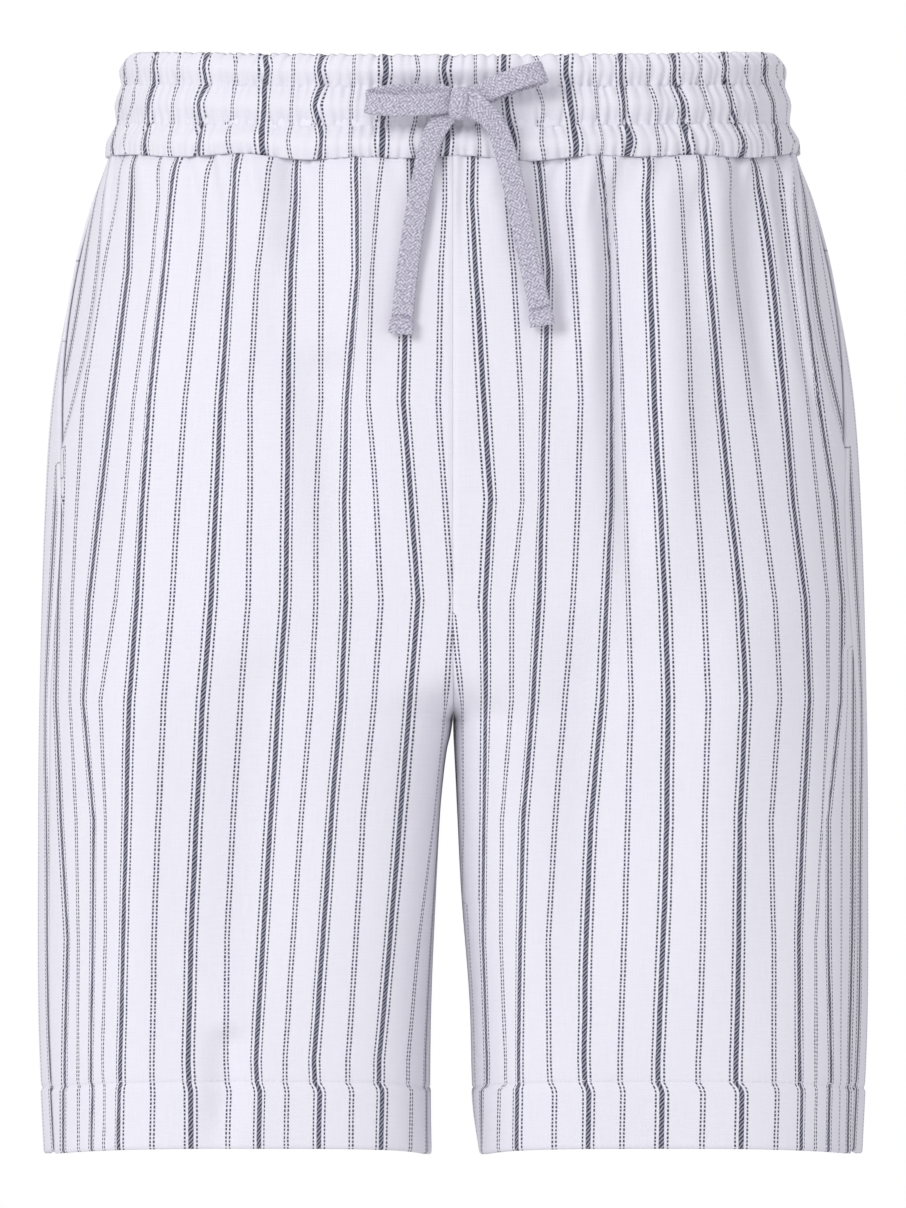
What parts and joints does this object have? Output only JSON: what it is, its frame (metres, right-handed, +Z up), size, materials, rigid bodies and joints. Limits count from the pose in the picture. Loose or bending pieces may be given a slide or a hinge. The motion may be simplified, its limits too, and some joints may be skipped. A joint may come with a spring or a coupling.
{
  "type": "bermuda shorts",
  "caption": "Striped linen bermuda shorts with an elasticated waist, slanted side pockets and a flat drawstring tied in a bow, filled out as if worn.",
  "frame": {"origin": "middle of the waist opening, halfway up the waistband, where the wearer's waist holds the shorts", "axes": "+Z up, -Y out of the front, +X towards the wearer's left"},
  "size_m": [0.3914, 0.2544, 0.5221],
  "materials": {
    "linen": "matte plain-woven linen, white with indigo stripes",
    "tape": "matte herringbone cotton tape, lilac grey"
  },
  "bodies": {
    "root": {"front_left": "linen", "front_right": "linen", "back_left": "linen", "back_right": "linen", "pocket_facing_left": "linen", "pocket_facing_right": "linen", "waistband": "linen", "drawstring_knot": "tape", "drawstring_loop_left": "tape", "drawstring_loop_right": "tape", "drawstring_tail_left": "tape", "drawstring_tail_right": "tape"}
  },
  "joints": []
}
